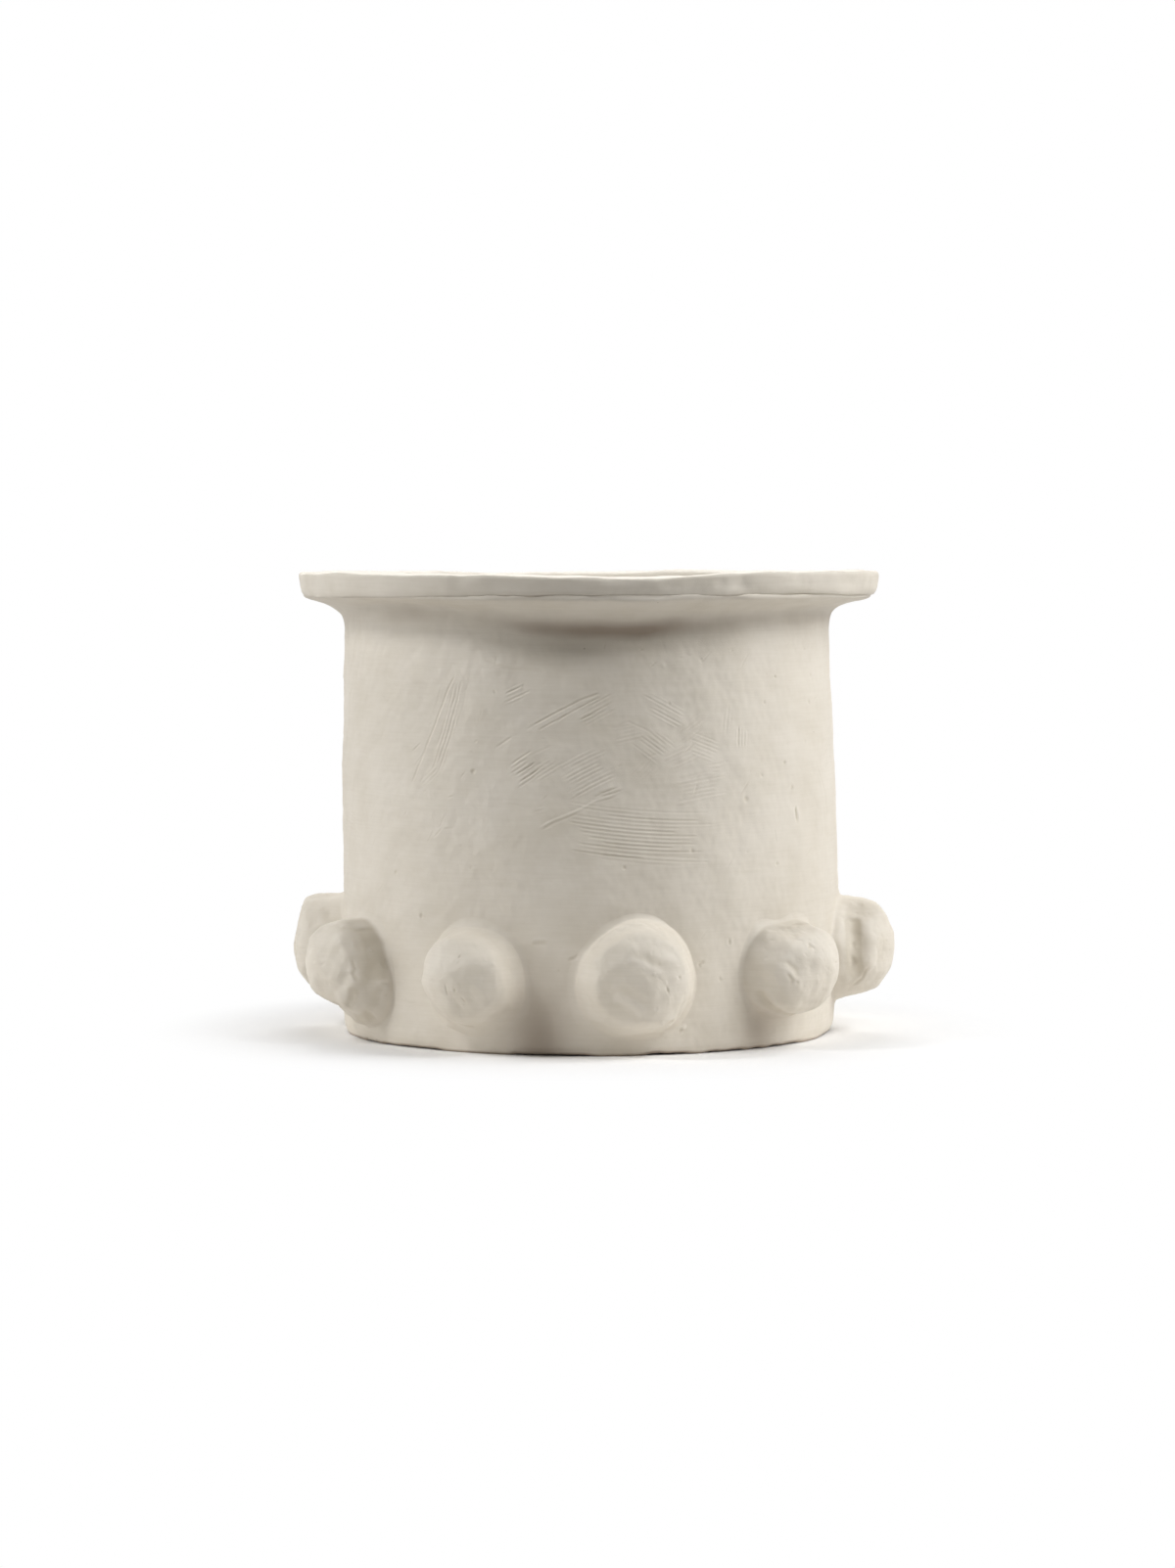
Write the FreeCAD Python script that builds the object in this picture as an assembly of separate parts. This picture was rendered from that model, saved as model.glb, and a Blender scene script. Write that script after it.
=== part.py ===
"""A hand-built stoneware flower pot, as the clay pieces that are luted together before firing.

A slab wall is rolled into a tube and stands on its own foot. The floor slab lies inside it, sealed by a
coil pressed into the corner. A flat rim slab lies on the wall, with a coil smoothed into a cove under
it, and ten balls of clay are pressed on round the foot as knobs.

Millimetres, +Z up. The origin is on the ground, on the axis of the pot. An azimuth is in degrees from
the front, which is -Y, and turns towards +X.
"""

import FreeCAD
import Part
import math
import os

# Whole pot
POT_HEIGHT = 318.0  # ground to the middle height of the rim's top
SEAM_AZIMUTH = 173.0  # where every closed outline starts, between two knobs at the back
OUTLINE_POINTS = 32  # points on each closed outline of the wall, cove and rim; a knob has half as many
OVERRUN = 5.0  # how far a cutting solid runs past what it cuts

# Wall: a slab rolled into a tube, a little fuller low down and drawn in at the foot
WALL_BELLY_RADIUS = 172.0
FOOT_DRAW = 4.8  # how far the foot is drawn in from the belly
NECK_DRAW = 4.6  # how far the neck is drawn in from the belly
WALL_THICKNESS = 11.4  # at the neck: the inside is straight, so the belly is thicker
WALL_WAVE = 0.9  # out of round, to each side
NECK_LEAN = 1.8  # how far the neck has slumped towards -X
# height share of the wall, share of the way from the foot or neck to the belly, share of the lean
WALL_FOOT_SHARES = ((0.0, 0.0, 0.0), (0.018, 0.38, 0.0), (0.05, 0.62, 0.0), (0.14, 0.86, -0.2))
WALL_NECK_SHARES = (
    (0.34, 1.0, -0.5),
    (0.56, 0.76, 0.0),
    (0.72, 0.36, 0.4),
    (0.86, 0.08, 0.9),
    (1.0, 0.0, 1.0),
)
# bulges round the pot, share of the wave, azimuth of the first bulge
WALL_WAVE_SHARES = ((2, 0.55, 40.0), (3, 0.35, 95.0), (5, 0.25, 10.0))

# Rim: a flat slab ring that overhangs the wall
RIM_OVERHANG = 33.2  # out from the neck
RIM_THICKNESS = 14.2
RIM_EDGE_ROUND = 4.4  # the outer edge
RIM_LIP_ROUND = 3.6  # the inner edge, at the mouth
RIM_EDGE_WAVE = 1.1
RIM_SAG = 4.2  # largest dip of the hand-pressed top
# outer edge, underside to top: inset in edge rounds, depth in thicknesses, share of the top's dips
RIM_OUTER_SHARES = (
    (0.78, 1.0, 0.0),
    (0.2, 0.8, 0.25),
    (0.0, 0.62, 0.6),
    (0.08, 0.31, 1.0),
    (0.5, 0.09, 1.0),
    (1.7, 0.0, 1.0),
)
# middle of the top: share of the way in, depth in thicknesses, shares of the dips and the edge wave
RIM_MIDDLE_SHARES = (0.55, 0.015, 0.8, 0.4)
# inner edge, top to mouth: inset back from the mouth and depth, both in lip rounds
RIM_LIP_SHARES = ((1.0, 0.25), (0.25, 0.6), (0.0, 1.6))
RIM_LIP_DIP_SHARE = 0.6
# bulges round the rim, share of the edge wave, azimuth of the first bulge
RIM_EDGE_SHARES = ((3, 0.5, 100.0), (4, 0.3, 65.0), (7, 0.25, 0.0))
# height of the rim's top every sixteenth of a turn from the front, as shares of the sag
RIM_TOP_SHARES = (
    *(-0.62, -0.28, 0.36, 0.36, 0.18, -0.12, 0.14, 0.26),
    *(0.02, -0.3, 0.08, 0.24, 0.12, 0.1, -0.02, -0.34),
)

# Cove: the coil smoothed in between the wall and the rim
COVE_SETBACK = 1.4  # back from the edge of the rim's flat underside
COVE_DROP = 23.0  # down the wall, from the rim's underside
COVE_EDGE = 0.7  # thickness left at the feathered lower edge
# drop share down from the rim, reach share out from the wall
COVE_SHARES = (
    (1.0, 0.0),
    (0.84, 0.02),
    (0.7, 0.07),
    (0.57, 0.14),
    (0.45, 0.25),
    (0.33, 0.41),
    (0.21, 0.68),
    (0.1, 0.94),
    (0.0, 1.0),
)

# Floor slab, raised a little so that the pot stands on the wall's foot
FLOOR_THICKNESS = 14.0
FOOT_LIFT = 3.0
DRAIN_RADIUS = 12.0
DRAIN_EDGE_ROUND = 1.5

# Coil pressed into the corner of floor and wall
FLOOR_COIL_SIZE = 11.0
FLOOR_COIL_EDGE = 1.0

# Knobs: balls of clay pressed on, no two alike
KNOB_HEIGHT = 56.5  # ground to the middle of a knob
KNOB_BASE_RADIUS = 39.0
KNOB_HEAD_RADIUS = 30.0
KNOB_REACH = 41.5  # out from the belly of the wall
KNOB_SEAT_DEPTH = 10.0  # how far a ball starts inside the belly before it is cut to the wall
KNOB_WAVE_SHARES = ((2, 0.045), (3, 0.03))
# share of the reach, how much of the flare from head to base is left, share of the head still there
KNOB_OUTLINE_SHARES = (
    (0.0, 1.0, 1.0),
    (0.09, 0.68, 1.0),
    (0.22, 0.42, 1.0),
    (0.45, 0.24, 1.0),
    (0.66, 0.02, 1.0),
    (0.83, 0.0, 0.85),
    (0.94, 0.0, 0.62),
    (1.0, 0.0, 0.3),
)
# one row each, round from the front: up, base, head, reach, and the head's drift round and up
KNOB_SHARES = (
    (0.0, 0.99, 0.98, 0.97, -0.1, 0.02),
    (0.0, 0.87, 1.05, 1.0, 0.0, 0.03),
    (0.0, 1.0, 0.95, 1.0, 0.0, 0.16),
    (-0.03, 0.96, 0.97, 0.96, 0.08, 0.03),
    (0.02, 1.02, 1.0, 0.97, -0.06, 0.0),
    (-0.02, 0.98, 1.03, 0.99, 0.04, -0.05),
    (0.03, 0.92, 0.98, 0.97, -0.1, 0.04),
    (0.05, 1.0, 0.97, 0.86, 0.02, -0.08),
    (-0.03, 0.9, 0.97, 0.94, 0.0, 0.0),
    (-0.03, 0.95, 0.98, 0.97, 0.33, -0.02),
)
KNOB_AZIMUTHS = (10.3, 47.5, 85.5, 121.5, 157.0, 192.0, 227.5, 263.0, 298.5, 334.0)

# Worked out from the sizes above
WALL_FOOT_RADIUS = WALL_BELLY_RADIUS - FOOT_DRAW
WALL_NECK_RADIUS = WALL_BELLY_RADIUS - NECK_DRAW
WALL_INNER_RADIUS = WALL_NECK_RADIUS - WALL_THICKNESS
RIM_RADIUS = WALL_NECK_RADIUS + RIM_OVERHANG
RIM_UNDERSIDE = POT_HEIGHT - RIM_THICKNESS
COVE_REACH = RIM_OVERHANG - RIM_OUTER_SHARES[0][0] * RIM_EDGE_ROUND - COVE_SETBACK
FLOOR_TOP = FOOT_LIFT + FLOOR_THICKNESS
FULL_TURN = 360.0


def place(azimuth, radius, z):
    """The point at an azimuth, a distance from the pot's axis and a height."""
    turn = math.radians(azimuth)
    return FreeCAD.Vector(radius * math.sin(turn), -radius * math.cos(turn), z)


def waves(azimuth, shares):
    """Sum of cosine bulges round the pot: each row is a count, a share and the first crest."""
    return sum(share * math.cos(math.radians(count * (azimuth - crest))) for count, share, crest in shares)


def closed_outline(point_at, count=OUTLINE_POINTS, start=SEAM_AZIMUTH):
    """A smooth closed wire through the points that point_at gives for evenly spaced angles."""
    curve = Part.BSplineCurve()
    points = [point_at(start + FULL_TURN * i / count) for i in range(count)]
    curve.interpolate(Points=points, PeriodicFlag=True)
    return Part.Wire(curve.toShape())


def skin(wires):
    """The smooth surface through closed wires, one above the other."""
    return Part.makeLoft(wires, False, False)


def largest_solid(shape):
    """The one real solid of a cut, without slivers."""
    return max(shape.Solids, key=lambda solid: solid.Volume)


def save(shape, node):
    """Writes one node's solid, after checking that it is valid and closed."""
    if not shape.isValid() or shape.Volume <= 0:
        raise ValueError(node + " is not a valid solid")
    shape.exportStep(os.path.join("parts", node + ".step"))
    print(node, "volume", round(shape.Volume), "faces", len(shape.Faces))


def wall_sections():
    """Height, mean radius and lean of each outline of the wall's outside, foot to top."""
    rows = []
    for height_share, fullness, lean_share in WALL_FOOT_SHARES:
        radius = WALL_FOOT_RADIUS + fullness * (WALL_BELLY_RADIUS - WALL_FOOT_RADIUS)
        rows.append((height_share * RIM_UNDERSIDE, radius, lean_share * NECK_LEAN))
    for height_share, fullness, lean_share in WALL_NECK_SHARES:
        radius = WALL_NECK_RADIUS + fullness * (WALL_BELLY_RADIUS - WALL_NECK_RADIUS)
        rows.append((height_share * RIM_UNDERSIDE, radius, lean_share * NECK_LEAN))
    return rows


def wall_outline(z, radius, lean):
    """One closed outline of the wall's outside, out of round and shifted towards -X by the lean."""

    def point_at(azimuth):
        point = place(azimuth, radius + WALL_WAVE * waves(azimuth, WALL_WAVE_SHARES), z)
        return point - FreeCAD.Vector(lean, 0, 0)

    return closed_outline(point_at)


def make_wall_core():
    """The wall's outside as a full solid. The wall is bored out of it, and what sits on it is cut by it."""
    return Part.makeLoft([wall_outline(*row) for row in wall_sections()], True, False)


def make_wall(core):
    """The rolled slab: the full solid, bored out to the inside radius."""
    bore = Part.makeCylinder(
        WALL_INNER_RADIUS, RIM_UNDERSIDE + 2 * OVERRUN, FreeCAD.Vector(0, 0, -OVERRUN)
    )
    return largest_solid(core.cut(bore))


def rim_top_share(azimuth):
    """Height of the hand-pressed top at an azimuth, eased between the sixteenths of a turn."""
    place_in_table = (azimuth % FULL_TURN) / FULL_TURN * len(RIM_TOP_SHARES)
    low = int(place_in_table) % len(RIM_TOP_SHARES)
    high = (low + 1) % len(RIM_TOP_SHARES)
    ease = (1 - math.cos(math.pi * (place_in_table - int(place_in_table)))) / 2
    return RIM_TOP_SHARES[low] * (1 - ease) + RIM_TOP_SHARES[high] * ease


def rim_outline(inset, below_top, follows_top, wavy=1):
    """One closed outline of the rim, inset from its widest radius and below its top.

    follows_top and wavy are the shares of the top's dips and of the edge's wave that it has.
    """

    def point_at(azimuth):
        radius = RIM_RADIUS - inset + wavy * RIM_EDGE_WAVE * waves(azimuth, RIM_EDGE_SHARES)
        top = POT_HEIGHT + follows_top * RIM_SAG * rim_top_share(azimuth)
        return place(azimuth, radius, top - below_top)

    return closed_outline(point_at)


def make_rim():
    """The rim slab: a flat underside, a rounded wavy edge, and a top pressed by hand."""
    width = RIM_RADIUS - WALL_INNER_RADIUS
    edge = [
        rim_outline(inset * RIM_EDGE_ROUND, depth * RIM_THICKNESS, dips)
        for inset, depth, dips in RIM_OUTER_SHARES
    ]
    way_in, depth, dips, wave = RIM_MIDDLE_SHARES
    top = [edge[-1], rim_outline(way_in * width, depth * RIM_THICKNESS, dips, wave)]
    for back, depth in RIM_LIP_SHARES:
        top.append(rim_outline(width - back * RIM_LIP_ROUND, depth * RIM_LIP_ROUND, RIM_LIP_DIP_SHARE, 0))
    mouth = rim_outline(width, RIM_THICKNESS, 0, 0)
    underside = Part.Face([edge[0], mouth])
    underside.validate()
    shell = Part.Shell(
        skin(edge).Faces + skin(top).Faces + skin([top[-1], mouth]).Faces + [underside]
    )
    shell.sewShape()
    solid = Part.Solid(shell)
    if solid.Volume < 0:
        solid.reverse()
    return solid


def make_cove(core):
    """The coil under the rim, with a hollow face from the wall out to the rim, cut to the wall."""
    neck = wall_sections()[-1]
    outlines = []
    for drop_share, reach_share in COVE_SHARES:
        radius = neck[1] + COVE_EDGE + reach_share * (COVE_REACH - COVE_EDGE)
        outlines.append(wall_outline(RIM_UNDERSIDE - drop_share * COVE_DROP, radius, neck[2]))
    return largest_solid(Part.makeLoft(outlines, True, False).cut(core))


def make_floor():
    """The floor slab, a disc that fits the inside of the wall, with its drain hole cut through."""
    slab = Part.makeCylinder(WALL_INNER_RADIUS, FLOOR_THICKNESS, FreeCAD.Vector(0, 0, FOOT_LIFT))
    hole = Part.makeCylinder(
        DRAIN_RADIUS, FLOOR_THICKNESS + 2 * OVERRUN, FreeCAD.Vector(0, 0, FOOT_LIFT - OVERRUN)
    )
    slab = slab.cut(hole)
    rounds = [edge for edge in slab.Edges if isinstance(edge.Curve, Part.Circle)]
    mouths = [edge for edge in rounds if edge.Curve.Radius < WALL_INNER_RADIUS]
    return slab.makeFillet(DRAIN_EDGE_ROUND, mouths)


def make_floor_coil():
    """The inside coil: a corner piece with a hollow face, turned about the pot's axis."""
    outer = WALL_INNER_RADIUS
    inner = outer - FLOOR_COIL_SIZE
    top = FLOOR_TOP + FLOOR_COIL_SIZE
    hollow = FLOOR_COIL_SIZE - FLOOR_COIL_EDGE
    middle = hollow * (1 - math.sqrt(0.5))
    corner = FreeCAD.Vector(outer, 0, FLOOR_TOP)
    floor_end = FreeCAD.Vector(inner, 0, FLOOR_TOP)
    floor_lip = FreeCAD.Vector(inner, 0, FLOOR_TOP + FLOOR_COIL_EDGE)
    wall_lip = FreeCAD.Vector(outer - FLOOR_COIL_EDGE, 0, top)
    wall_end = FreeCAD.Vector(outer, 0, top)
    arc_middle = FreeCAD.Vector(
        outer - FLOOR_COIL_EDGE - middle, 0, FLOOR_TOP + FLOOR_COIL_EDGE + middle
    )
    edges = [
        Part.LineSegment(corner, floor_end).toShape(),
        Part.LineSegment(floor_end, floor_lip).toShape(),
        Part.Arc(floor_lip, arc_middle, wall_lip).toShape(),
        Part.LineSegment(wall_lip, wall_end).toShape(),
        Part.LineSegment(wall_end, corner).toShape(),
    ]
    face = Part.Face(Part.Wire(edges))
    return face.revolve(FreeCAD.Vector(0, 0, 0), FreeCAD.Vector(0, 0, 1), FULL_TURN)


def knob_outline(number, out, radius, drift):
    """One closed outline of a knob, square to its own axis, out from the belly of the wall.

    drift is the share of the head's drift that the outline has.
    """
    up_share, _, _, _, across_share, head_up_share = KNOB_SHARES[number]
    turn = math.radians(KNOB_AZIMUTHS[number])
    outward = FreeCAD.Vector(math.sin(turn), -math.cos(turn), 0)
    across = FreeCAD.Vector(math.cos(turn), math.sin(turn), 0)
    up = FreeCAD.Vector(0, 0, 1)
    middle = (
        outward * (WALL_BELLY_RADIUS + out)
        + up * (KNOB_HEIGHT * (1 + up_share) + drift * head_up_share * KNOB_BASE_RADIUS)
        + across * (drift * across_share * KNOB_BASE_RADIUS)
    )

    def point_at(angle):
        lumps = sum(
            share * math.cos(math.radians(count * (angle - FULL_TURN * number / len(KNOB_AZIMUTHS))))
            for count, share in KNOB_WAVE_SHARES
        )
        size = radius * (1 + lumps)
        around = math.radians(angle)
        return middle + across * (size * math.cos(around)) + up * (size * math.sin(around))

    return closed_outline(point_at, OUTLINE_POINTS // 2, 0)


def make_knob(number, core):
    """A ball of clay pressed on: a flared base, a round head and a domed face, cut to the wall."""
    _, base_share, head_share, reach_share, _, _ = KNOB_SHARES[number]
    base = KNOB_BASE_RADIUS * base_share
    head = KNOB_HEAD_RADIUS * head_share
    reach = KNOB_REACH * reach_share
    outlines = [knob_outline(number, -KNOB_SEAT_DEPTH, base, 0)]
    for out_share, flare, fullness in KNOB_OUTLINE_SHARES:
        radius = (head + flare * (base - head)) * fullness
        outlines.append(knob_outline(number, out_share * reach, radius, out_share))
    return largest_solid(Part.makeLoft(outlines, True, False).cut(core))


os.makedirs("parts", exist_ok=True)
wall_core = make_wall_core()
save(make_wall(wall_core), "wall")
save(make_rim(), "rim_slab")
save(make_cove(wall_core), "rim_cove_coil")
save(make_floor(), "floor_slab")
save(make_floor_coil(), "floor_coil")
for number in range(len(KNOB_AZIMUTHS)):
    save(make_knob(number, wall_core), "knob_%02d" % (number + 1))
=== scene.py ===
"""Looks of a hand-built stoneware flower pot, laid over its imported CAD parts.

Every shape is worked out in millimetres and turned into metres as its mesh is made. An azimuth is in
radians from the front, which is -Y, and turns towards +X; the tables give it in degrees.
"""

import bpy
import numpy as np
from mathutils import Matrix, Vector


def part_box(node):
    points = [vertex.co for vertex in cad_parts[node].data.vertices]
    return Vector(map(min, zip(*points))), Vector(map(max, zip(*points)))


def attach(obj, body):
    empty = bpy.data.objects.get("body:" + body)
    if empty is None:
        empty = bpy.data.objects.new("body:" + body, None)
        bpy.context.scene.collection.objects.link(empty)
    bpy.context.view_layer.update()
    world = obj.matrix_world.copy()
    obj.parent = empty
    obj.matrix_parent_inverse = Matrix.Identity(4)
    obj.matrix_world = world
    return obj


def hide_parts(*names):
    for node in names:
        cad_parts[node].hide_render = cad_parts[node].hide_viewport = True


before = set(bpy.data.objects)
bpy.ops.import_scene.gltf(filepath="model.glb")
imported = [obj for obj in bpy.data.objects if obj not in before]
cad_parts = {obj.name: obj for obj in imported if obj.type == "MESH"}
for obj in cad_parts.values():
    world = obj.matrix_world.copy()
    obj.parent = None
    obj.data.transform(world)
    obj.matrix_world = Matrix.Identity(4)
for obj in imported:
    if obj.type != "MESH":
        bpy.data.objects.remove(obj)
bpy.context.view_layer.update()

# Wall. A slab of grogged stoneware clay, rolled into a tube and luted down the back. It was beaten
# true with a paddle, dragged with a serrated rib and wiped over, and it stands on its own cut foot.

MILLIMETRES = 1000.0  # in a metre
FULL_TURN = 2 * np.pi
WALL_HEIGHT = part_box("wall")[1].z * MILLIMETRES
WALL_BELLY = 172.0  # radius where the wall is fullest
WALL_INSIDE = 156.0  # radius of the straight inside
WALL_WAVE = 0.9  # out of round, to each side
WALL_DRESSED = 0.25  # how much smoother than the mean its right side was wiped, and rougher its left side
# height as a share of the wall's, how far it is drawn in from the belly, how far it leans towards -X
WALL_OUTLINE = np.array([
    (0, 4.8, 0), (0.018, 2.98, 0), (0.05, 1.82, 0), (0.14, 0.67, -0.36), (0.34, 0, -0.9),
    (0.56, 1.1, 0), (0.72, 2.94, 0.72), (0.86, 4.23, 1.62), (1, 4.6, 1.8),
]).T
# bulges round the pot, share of the wave, azimuth of the first bulge
WALL_BULGES = ((2, 0.55, 40), (3, 0.35, 95), (5, 0.25, 10))
WALL_FOOT_ROUND = 1.1  # the outer edge of the foot, cut and rubbed
WALL_FOOT_INNER_ROUND = 3.0


def smooth_through(x, at, values):
    """A smooth curve through given values: a cubic between neighbours, level with the slope through
    the points on each side of every one."""
    slopes = np.gradient(values, at)
    low = np.clip(np.searchsorted(at, x) - 1, 0, len(at) - 2)
    step = at[low + 1] - at[low]
    t = np.clip((x - at[low]) / step, 0, 1)
    start = (1 + 2 * t) * (1 - t) ** 2 * values[low] + t * (1 - t) ** 2 * step * slopes[low]
    end = t * t * (3 - 2 * t) * values[low + 1] - t * t * (1 - t) * step * slopes[low + 1]
    return start + end


def eased(x):
    """Nothing up to 0 and one from 1 on, with a smooth S between: three times the square less twice the
    cube."""
    x = np.clip(x, 0, 1)
    return x * x * (3 - 2 * x)


def bulges(azimuth, table):
    """Sum of cosines round the pot: each row is a count, a share and the azimuth of the first crest."""
    return sum(share * np.cos(count * (azimuth - np.radians(crest))) for count, share, crest in table)


def ring(azimuth, radius, height):
    """Points round the pot's axis: sine and cosine of the azimuth times the radius, and the height."""
    azimuth, radius, height = np.broadcast_arrays(azimuth, radius, height)
    return np.stack([radius * np.sin(azimuth), -radius * np.cos(azimuth), height], -1)


def clay(points, seed, longest, shortest, count, height, stretch=1.0):
    """Unevenness of clay at points in space: the sum of count cosine waves that run in random directions,
    with lengths spread evenly from longest to shortest and each as high as it is long. height is the
    root of their mean square. stretch makes them that much longer round the pot than up it."""
    draw = np.random.default_rng(seed)
    length = np.geomspace(longest, shortest, count)
    way = draw.normal(size=(count, 3))
    way *= (FULL_TURN / length / np.linalg.norm(way, axis=1))[:, None]
    share = length * height * np.sqrt(2 / np.sum(length**2))
    phase = draw.uniform(0, FULL_TURN, count)
    flat = points / np.array([stretch, stretch, 1.0])
    return np.cos(flat @ way.T + phase) @ share


# waves of each kind of mark: seed, longest, shortest, how many, height, stretch round the pot
PRESSED_WAVES = ((11, 170, 50, 16, 0.4), (12, 48, 16, 28, 0.2), (13, 15, 4, 40, 0.07))
WIPED_WAVES = ((21, 16, 5, 30, 0.045, 5), (22, 4.6, 1.8, 30, 0.01, 7))


def pressed(points, strength=1.0):
    """Marks of paddle, palm and finger, from a hand's breadth down to grog size."""
    return strength * sum(clay(points, *waves) for waves in PRESSED_WAVES)


def wiped(points, strength=1.0):
    """Marks of a wet brush or sponge wiped round the pot: long low ripples, a few millimetres high."""
    return strength * sum(clay(points, *waves) for waves in WIPED_WAVES)


# Drags of the serrated rib: middle azimuth and height, length, breadth, tilt, bend in an arc per
# millimetre, distance between teeth, depth. The real teeth stand 2.2 mm apart; these are wider apart and
# deeper, so that they show.
RIB_DRAGS = (
    (9.6, 147.5, 76, 36, -5.3, -0.0009, 2.6, 0.56), (14, 130, 52, 10, -5, -0.0009, 2.7, 0.3),
    (-0.4, 188, 30, 28, 27, 0.002, 2.6, 0.5), (4.4, 173.5, 22, 10, 17, -0.004, 2.6, 0.8),
    (-14.4, 189.5, 17, 20, 33, 0, 2.6, 0.8), (-9.2, 191, 20, 13, 32, 0, 2.5, 0.3),
    (2.4, 229, 24, 16, 28, 0, 2.5, 0.5), (-16.3, 239.6, 17, 12, 24, 0, 2.5, 0.6),
    (-10.6, 163, 11, 7, 15, 0, 2.6, 0.4), (24.6, 176, 34, 18, 9, 0.001, 2.7, 0.32),
    (19, 226, 26, 16, -28, 0, 2.5, 0.34), (24, 214, 22, 18, 34, 0, 2.5, 0.32),
    (15, 205, 20, 22, -36, 0, 2.5, 0.3), (21, 197, 24, 16, 22, 0, 2.5, 0.32),
    (27, 203, 18, 18, -20, 0, 2.5, 0.28), (13, 189, 18, 16, 44, 0, 2.5, 0.28),
    (30, 190, 16, 12, 6, 0, 2.5, 0.32), (9, 214, 18, 14, 12, 0, 2.5, 0.28),
    (37.1, 210, 15, 12, 84, 0, 2.7, 0.95), (33.2, 219, 20, 10, 80, 0, 3.1, 0.4),
    (-33.2, 214, 66, 15, 70, -0.0012, 2.7, 0.38), (-38.6, 183, 16, 10, 40, 0, 2.7, 0.16),
    (78, 204, 44, 22, 24, 0.001, 2.8, 0.3), (104, 168, 60, 26, -9, -0.001, 2.8, 0.36),
    (131, 226, 30, 18, 32, 0, 2.8, 0.34), (158, 150, 52, 30, 6, 0.0008, 2.8, 0.34),
    (-152, 214, 46, 22, -21, 0, 2.8, 0.32), (-124, 158, 58, 28, 12, -0.001, 2.8, 0.36),
    (-98, 222, 28, 20, 38, 0, 2.8, 0.34), (-74, 150, 40, 18, -7, 0.0008, 2.8, 0.28),
)
# Single tool lines: half width, depth (raised where negative), then azimuth and height along the line
TOOL_LINES = (
    (0.6, 0.4, (-12.4, 218.6), (-7, 227.2), (-1.5, 235.6), (2.9, 240.2)),
    (0.55, 0.32, (-11.2, 215.4), (-4.3, 226.6), (1, 234.9), (3.4, 237.9)),
    (0.7, 0.14, (-14.1, 215.8), (-12.2, 218.6)), (0.6, 0.24, (-21.1, 203.7), (-16.9, 211.6)),
    (0.6, 0.16, (-13.2, 198.6), (-7.9, 206)),
    (0.7, -0.26, (-10.9, 151.2), (-8.8, 155.2), (-2.4, 163), (1.2, 168.6), (5.9, 173.6)),
    (0.7, 0.24, (-10.2, 150.2), (-7.4, 155.4), (-1.9, 161.8)), (0.75, 0.34, (0.9, 171.4), (6, 177.8)),
    (0.65, 0.26, (-31.6, 250.4), (-34, 238.4), (-36.3, 223.6), (-38.7, 208.8), (-43.6, 178.6)),
    (0.6, 0.1, (-35, 245.6), (-37.5, 227.2)), (0.7, 0.12, (-30.7, 240.4), (-33.3, 226.6)),
    (0.7, 0.12, (-31.5, 216.7), (-34.1, 194.6)), (0.6, 0.12, (-34.6, 213.7), (-35, 202.7)),
    (0.6, 0.12, (-40, 184.9), (-41.2, 178.3)), (0.6, 0.12, (-35.6, 190.8), (-37.9, 184.2)),
    (0.55, 0.12, (20.2, 183), (30.8, 190)), (0.5, 0.1, (21.8, 172.3), (29.3, 175.2)),
    (0.5, 0.1, (19.5, 164.9), (24.6, 166.9)),
    (0.6, 0.12, (6.2, 218.4), (9.1, 221.3), (13.5, 215.5), (17.2, 206.8)),
    (0.6, 0.1, (20.3, 212), (22.4, 215.4)), (1.1, 1.4, (54.4, 161.4), (54.5, 156), (54.6, 150.4)),
    (1.1, 0.9, (-41.4, 91.8), (-40.6, 88.6)), (0.9, 0.6, (-2.6, 68.4), (-3, 65.6), (-5, 64.4)),
    (1.2, 0.5, (-13, 75), (-9, 75.6)), (1, 0.6, (24.6, 60.6), (26.4, 61.8)),
    (1.5, -0.8, (16.2, 14.6), (17.4, 16.2)), (1.2, -0.7, (20.8, 17.4), (22.4, 19.6)),
    (0.9, 0.7, (20.4, 15.4), (21.6, 16.8)), (0.7, 0.6, (4.8, 10.4), (5.4, 6.6)),
    (0.9, 0.6, (29.9, 50.8), (30.9, 48)), (0.8, 0.5, (24.8, 61), (25.2, 57.6)),
    (0.9, 0.7, (32.6, 76), (32.9, 71.4)), (0.7, 0.3, (-43.4, 169), (-42.6, 166.6)),
    (0.8, 0.34, (-21.5, 242.2), (-20.8, 239.6)), (0.8, 0.34, (26.6, 262.4), (27.6, 260.6)),
    (1.2, -0.3, (17, 259), (18.4, 257.6)), (0.8, 0.16, (-24, 262), (-17, 256), (-9, 255)),
    (0.7, 0.24, (92, 244), (104, 232), (113, 229)), (0.8, 0.3, (146, 196), (151, 178), (152, 160)),
    (0.7, 0.26, (-140, 236), (-131, 229), (-119, 231)), (0.8, 0.2, (-88, 196), (-82, 182), (-80, 160)),
    (0.7, 0.22, (66, 186), (70, 168), (71, 150)),
    (1.1, 0.3, (178.4, 286), (178, 220), (179, 150), (178.2, 96)),
)
# Pits where grog or air came out: azimuth, height, radius, depth
PITS = (
    (63.2, 230.8, 1.3, 0.7), (37.7, 168.2, 1.9, 0.5), (53.2, 174.4, 1.3, 0.6), (50.9, 191.1, 1.2, 0.6),
    (23.2, 135.6, 1.1, 0.4), (18.7, 233, 1, 0.35), (-26.5, 187.9, 1.5, 0.7), (47, 124, 1.3, 0.5),
    (-6.7, 57.6, 0.9, 0.4),
)
MORE_PITS = 110  # small ones, strewn all round
SCRATCHES = 260  # fine ones, strewn all round
BELLY_TURN = FULL_TURN * WALL_BELLY


def across_seam(distance):
    """The same distance round the wall, taken the short way from the front: within half a turn."""
    return (distance + BELLY_TURN / 2) % BELLY_TURN - BELLY_TURN / 2


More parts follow.
